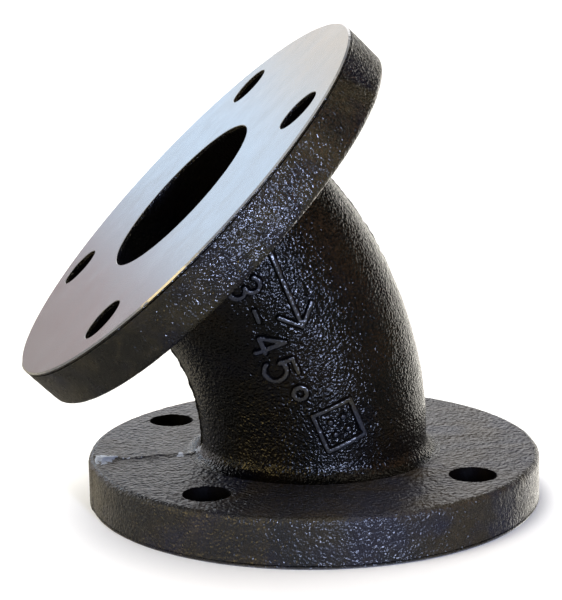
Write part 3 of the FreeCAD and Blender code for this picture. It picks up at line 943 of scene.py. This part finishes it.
# The camera's angles in degrees, and its target and distance in flange diameters.
CAMERA_AZIMUTH, CAMERA_ELEVATION, CAMERA_ROLL = -10.34, 12.316, -0.926
CAMERA_TARGET = (-0.0883, 0.0, 0.4182)
CAMERA_DISTANCE = 3.8471
CAMERA_LENS = 105.75
CAMERA_SENSOR = 36.0
CAMERA_SHIFT = (0.0143, 0.018)


def make_stage():
    """A plain pale floor. Reflections don't see it."""
    mesh = bpy.data.meshes.new("floor")
    signs = ((-1, -1), (1, -1), (1, 1), (-1, 1))
    corners = [(x * FLOOR_REACH, y * FLOOR_REACH, 0) for x, y in signs]
    mesh.from_pydata(corners, [], [(0, 1, 2, 3)])
    floor = bpy.data.objects.new("floor", mesh)
    bpy.context.scene.collection.objects.link(floor)
    pale = Nodes("pale_floor")
    pale.shader.inputs["Base Color"].default_value = (0.93, 0.93, 0.93, 1.0)
    pale.shader.inputs["Roughness"].default_value = 0.9
    pale.shader.inputs["Specular IOR Level"].default_value = 0.1
    mesh.materials.append(pale.material)
    floor.visible_glossy = False


def make_light(name, place, width, height, power, colour):
    """A soft rectangular lamp that looks at the elbow."""
    lamp = bpy.data.lights.new(name, "AREA")
    lamp.shape = "RECTANGLE"
    lamp.size = width
    lamp.size_y = height
    lamp.energy = power
    lamp.color = colour
    light = bpy.data.objects.new(name, lamp)
    light.location = place
    aim = Vector(LAMPS_LOOK_AT) - Vector(place)
    light.rotation_euler = aim.to_track_quat("-Z", "Y").to_euler()
    bpy.context.scene.collection.objects.link(light)


def make_world():
    """A dim room with bright and coloured patches on its walls.

    The four noted as blue, pink, straw and white are placed by what the upper face mirrors in the
    camera's view, and tint it there. The metal's own colour also carries a painted reflection of
    them, in bands up each face.
    """
    world = bpy.data.worlds.new("studio")
    bpy.context.scene.world = world
    world.use_nodes = True
    tree = world.node_tree
    sky = tree.nodes["Background"]
    direction = tree.nodes.new("ShaderNodeTexCoord").outputs["Generated"]
    colour = None
    for towards, low, high, bright in PATCHES:
        dot = tree.nodes.new("ShaderNodeVectorMath")
        dot.operation = "DOT_PRODUCT"
        dot.inputs[1].default_value = towards
        tree.links.new(direction, dot.inputs[0])
        ramp = tree.nodes.new("ShaderNodeMapRange")
        ramp.interpolation_type = "SMOOTHSTEP"
        ramp.inputs["From Min"].default_value = low
        ramp.inputs["From Max"].default_value = high
        tree.links.new(dot.outputs["Value"], ramp.inputs["Value"])
        mix = tree.nodes.new("ShaderNodeMix")
        mix.data_type = "RGBA"
        tree.links.new(ramp.outputs["Result"], mix.inputs["Factor"])
        mix.inputs[6].default_value = (*ROOM, 1.0)
        if colour:
            tree.links.new(colour, mix.inputs[6])
        mix.inputs[7].default_value = (*bright, 1.0)
        colour = mix.outputs[2]
    tree.links.new(colour, sky.inputs["Color"])


def make_lights():
    """A soft overhead sun that reflections don't see, a cool window and two warm lamps."""
    sun = bpy.data.lights.new("overhead", "SUN")
    sun.energy = SUN_POWER
    sun.angle = math.radians(SUN_ANGLE)
    light = bpy.data.objects.new("overhead", sun)
    light.visible_glossy = False
    light.rotation_euler = Vector(SUN_TOWARDS).to_track_quat("-Z", "Y").to_euler()
    bpy.context.scene.collection.objects.link(light)
    for name, place, (width, height), power, colour in (
        ("window", (0.27, -1.50, 0.34), (0.11, 0.45), 20, (0.56, 0.66, 1.0)),
        ("warm_left", (-1.4, -0.7, 0.5), (0.5, 0.7), 6, (1.0, 0.73, 0.27)),
        ("warm_right", (1.5, -0.3, 0.7), (0.6, 0.9), 1.6, (1.0, 0.60, 0.36)),
    ):
        make_light(name, place, width, height, power, colour)


def make_camera():
    """The view from the front, a little to the left and above."""
    angles = (CAMERA_AZIMUTH, CAMERA_ELEVATION, CAMERA_ROLL)
    azimuth, elevation, roll = (math.radians(angle) for angle in angles)
    target = FLANGE_R * 2 * Vector(CAMERA_TARGET)
    distance = FLANGE_R * 2 * CAMERA_DISTANCE
    camera = bpy.data.objects.new("camera", bpy.data.cameras.new("camera"))
    bpy.context.scene.collection.objects.link(camera)
    flat = math.cos(elevation)
    back = Vector((math.sin(azimuth) * flat, -math.cos(azimuth) * flat, math.sin(elevation)))
    camera.rotation_mode = "QUATERNION"
    turned = (-back).to_track_quat("-Z", "Y").to_matrix().to_4x4() @ Matrix.Rotation(roll, 4, "Z")
    camera.rotation_quaternion = turned.to_quaternion()
    camera.location = target + back * distance
    camera.data.sensor_width = CAMERA_SENSOR
    camera.data.lens = CAMERA_LENS
    camera.data.shift_x, camera.data.shift_y = CAMERA_SHIFT
    camera.data.clip_start = 0.05
    camera.data.clip_end = 100.0
    bpy.context.scene.camera = camera


make_stage()
make_world()
make_lights()
make_camera()
bpy.context.scene.view_settings.view_transform = "Standard"

# The coat's black, brown and navy shades, by where it lies: near black on the barrel and seams,
# paler on the flanges' backs and rims, the lower rim paler than the upper. This is partly rubbing
# and dust, and partly painted light and shade, one black paint made lighter where a part looks lit
# and darker where it looks shaded.
DEEP = ((0.0009, 0.0009, 0.0008), (0.004, 0.0024, 0.0010), (0.0011, 0.0011, 0.0020))
MIDDLING = ((0.006, 0.0055, 0.004), (0.024, 0.019, 0.009), (0.004, 0.004, 0.008))
BACKS = ((0.018, 0.017, 0.020), (0.032, 0.025, 0.019), (0.020, 0.020, 0.029))
RUBBED_AND_LIT = ((0.017, 0.017, 0.018), (0.029, 0.023, 0.015), (0.018, 0.018, 0.026))
WORN_AND_LIT = ((0.018, 0.019, 0.021), (0.028, 0.024, 0.016), (0.018, 0.020, 0.028))
BLACK = ((0.001, 0.001, 0.001), (0.002, 0.001, 0.001), (0.001, 0.001, 0.002))
deep_coat = coat_material("deep_coat", DEEP, 0.38, 0.58 * MM, (0.11, 0.26))
back_coat = coat_material("flange_coat", BACKS, 0.50, 1.35 * MM, (0.32, 0.46), 1.6 * MM)
rim_coats = {
    "lower": coat_material("lower_rim_coat", RUBBED_AND_LIT, 0.50, 0.65 * MM),
    "upper": coat_material("upper_rim_coat", MIDDLING, 0.78, 0.68 * MM, (0.13, 0.30)),
}
# The raised marks' tops: a paler coat, partly wear and partly painted highlight.
worn_and_lit_coat = coat_material("worn_and_lit_coat", WORN_AND_LIT, 0.60, 0.18 * MM)
# Painted shade: a dead black, barely reflective coat on the raised marks' flanks, which draws dark
# outlines round the strokes.
painted_shade_coat = coat_material("painted_shade_coat", BLACK, 0.10, 0.2 * MM, (0.3, 0.5))
# Painted shade: the bore and the bolt holes keep the coat's black, but dead and barely reflective,
# so that they stay dark where the room would light them.
bore_coat = coat_material("bore_coat", BLACK, 0.12, 0.4 * MM, (0.30, 0.5))
drilled_coat = coat_material("drilled_coat", BLACK, 0.04, 0.15 * MM, (0.5, 0.7))
flash_chip_glint = flash_chip_glint_material()
barrel_piece((deep_coat, bore_coat, flash_chip_glint))
UPPER_SLOPE = (math.cos(BEND), 0.0, math.sin(BEND))
for level, place, centre, uphill in (
    ("lower", LOWER_PLACE, (0.0, 0.0, 0.0), (1.0, 0.0, 0.0)),
    ("upper", UPPER_PLACE, tuple(UPPER_FACE.tolist()), UPPER_SLOPE),
):
    metal = metal_material(f"{level}_face_metal", centre, uphill)
    rim_coat = rim_coats[level]
    flange_coats = (back_coat, bore_coat, flash_chip_glint, rim_coat, drilled_coat)
    flange_piece(f"{level}_flange_skin", place, flange_coats)
    facing_piece(f"{level}_facing_skin", place, metal, rim_coat)
# The marks' flanks take the painted shade coat, and their tops the paler one.
mark_coats = (painted_shade_coat, worn_and_lit_coat)
# The throat seam's tallest parts are bare iron with a painted glint.
seam_piece("throat_seam_skin", math.pi, (deep_coat, flash_chip_glint))
seam_piece("crown_seam_skin", 0.0, (deep_coat,))
row_piece("size_mark_skin", 0, 1, three(0) + dash(1), mark_coats)
row_piece("angle_mark_skin", 2, 4, four(2) + five(3) + degree(4), mark_coats)
arrow_piece(mark_coats)
lot_piece(mark_coats)
